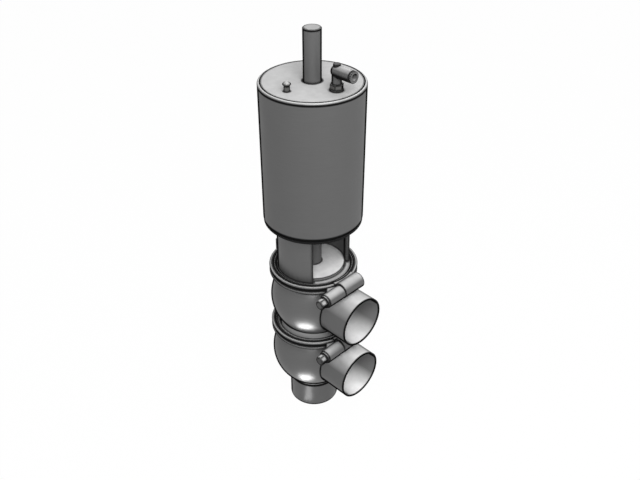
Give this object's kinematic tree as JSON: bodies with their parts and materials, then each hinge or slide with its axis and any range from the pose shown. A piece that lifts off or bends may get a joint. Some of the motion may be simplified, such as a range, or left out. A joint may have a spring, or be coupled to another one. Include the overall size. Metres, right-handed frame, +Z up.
{
  "type": "single seat valve",
  "caption": "Pneumatic single seat valve for sanitary tubing: spring-closed actuator on a windowed lantern, two ball bodies with side ports and a bottom port, hinged clamps.",
  "frame": {"origin": "centre of the bottom port's end face", "axes": "+Z up the valve's axis to the rod's end, +X out along the two side ports"},
  "size_m": [0.1185, 0.0932, 0.409],
  "materials": {
    "body_steel": "satin polished stainless steel",
    "tube_steel": "satin polished stainless tube",
    "lantern_steel": "fine turned stainless steel",
    "machined_steel": "turned stainless steel",
    "rod_steel": "ground and polished rod",
    "clamp_steel": "cast and tumbled stainless steel",
    "bolt_steel": "plain stainless bolt",
    "shell_steel": "brushed stainless tube",
    "cover_steel": "turned stainless plate",
    "base_steel": "turned stainless plate",
    "spring_steel": "bright spring wire",
    "piston_aluminium": "turned aluminium",
    "black_rubber": "smooth black rubber",
    "white_plastic": "white seal plastic",
    "bush_plastic": "dark bearing plastic",
    "nickel_brass": "nickel plated brass",
    "fitting_grey": "moulded grey plastic",
    "fitting_black": "moulded black plastic"
  },
  "bodies": {
    "root": {"upper_body": "body_steel", "upper_port_tube": "tube_steel", "lower_body": "body_steel", "lower_port_tube": "tube_steel", "bottom_port_tube": "tube_steel", "seat_ring": "machined_steel", "seat_gaskets": "black_rubber", "lantern": "lantern_steel", "bonnet": "machined_steel", "bonnet_bush": "bush_plastic", "bonnet_lip_seal": "black_rubber", "bonnet_gasket": "black_rubber", "actuator_base": "base_steel", "base_bush": "bush_plastic", "base_rod_seal": "black_rubber", "base_wire": "spring_steel", "base_oring": "black_rubber", "actuator_shell": "shell_steel", "actuator_cover": "cover_steel", "cover_oring": "black_rubber", "cover_bush": "bush_plastic", "cover_rod_seal": "black_rubber", "stop_sleeve": "machined_steel", "spring_seat": "bush_plastic", "spring": "spring_steel", "air_tube": "tube_steel", "fitting_stud": "nickel_brass", "breather_body": "nickel_brass", "breather_cap": "nickel_brass", "upper_clamp_half_a": "clamp_steel", "upper_clamp_pin": "machined_steel", "lower_clamp_half_a": "clamp_steel", "lower_clamp_pin": "machined_steel"},
    "stem_group": {"stem": "rod_steel", "top_rod": "rod_steel", "piston": "piston_aluminium", "piston_seal": "black_rubber", "piston_guide": "bush_plastic", "air_tube_seal": "black_rubber", "plug": "machined_steel", "plug_seal": "white_plastic", "plug_retainer": "machined_steel", "plug_nut": "machined_steel"},
    "elbow_group": {"fitting_elbow": "fitting_grey", "fitting_cap": "fitting_black"},
    "collet": {"fitting_collet": "fitting_black"},
    "upper_clamp_arm": {"upper_clamp_half_b": "clamp_steel"},
    "upper_bolt": {"upper_clamp_bolt": "bolt_steel"},
    "lower_clamp_arm": {"lower_clamp_half_b": "clamp_steel"},
    "lower_bolt": {"lower_clamp_bolt": "bolt_steel"}
  },
  "joints": [
    {"name": "stem_lift", "type": "slide", "parent": "root", "child": "stem_group", "axis": [0, 0, 1], "range_m": [0, 0.026], "stiffness_N_per_m": 8000, "springref_m": -0.012, "deforming": ["spring"]},
    {"name": "elbow_swivel", "type": "hinge", "parent": "root", "child": "elbow_group", "pos_m": [0.0282, 0, 0.372], "axis": [0, 0, 1], "continuous": true},
    {"name": "collet_press", "type": "slide", "parent": "elbow_group", "child": "collet", "axis": [-1, 0, 0], "range_m": [0, 0.001], "stiffness_N_per_m": 1000, "springref_m": -0.001},
    {"name": "upper_bolt_unscrew", "type": "slide", "parent": "root", "child": "upper_bolt", "axis": [0, -1, 0], "range_m": [0, 0.03]},
    {"name": "upper_clamp_swing", "type": "hinge", "parent": "root", "child": "upper_clamp_arm", "pos_m": [-0.0483, 0, 0.171], "axis": [0, 0, 1], "range_deg": [0, 31]},
    {"name": "lower_bolt_unscrew", "type": "slide", "parent": "root", "child": "lower_bolt", "axis": [0, -1, 0], "range_m": [0, 0.03]},
    {"name": "lower_clamp_swing", "type": "hinge", "parent": "root", "child": "lower_clamp_arm", "pos_m": [-0.0483, 0, 0.101], "axis": [0, 0, 1], "range_deg": [0, 31]}
  ],
  "couplings": [
    {"joint": "upper_clamp_swing", "follows": "upper_bolt_unscrew", "rad_per_m": 17.453},
    {"joint": "lower_clamp_swing", "follows": "lower_bolt_unscrew", "rad_per_m": 17.453}
  ]
}
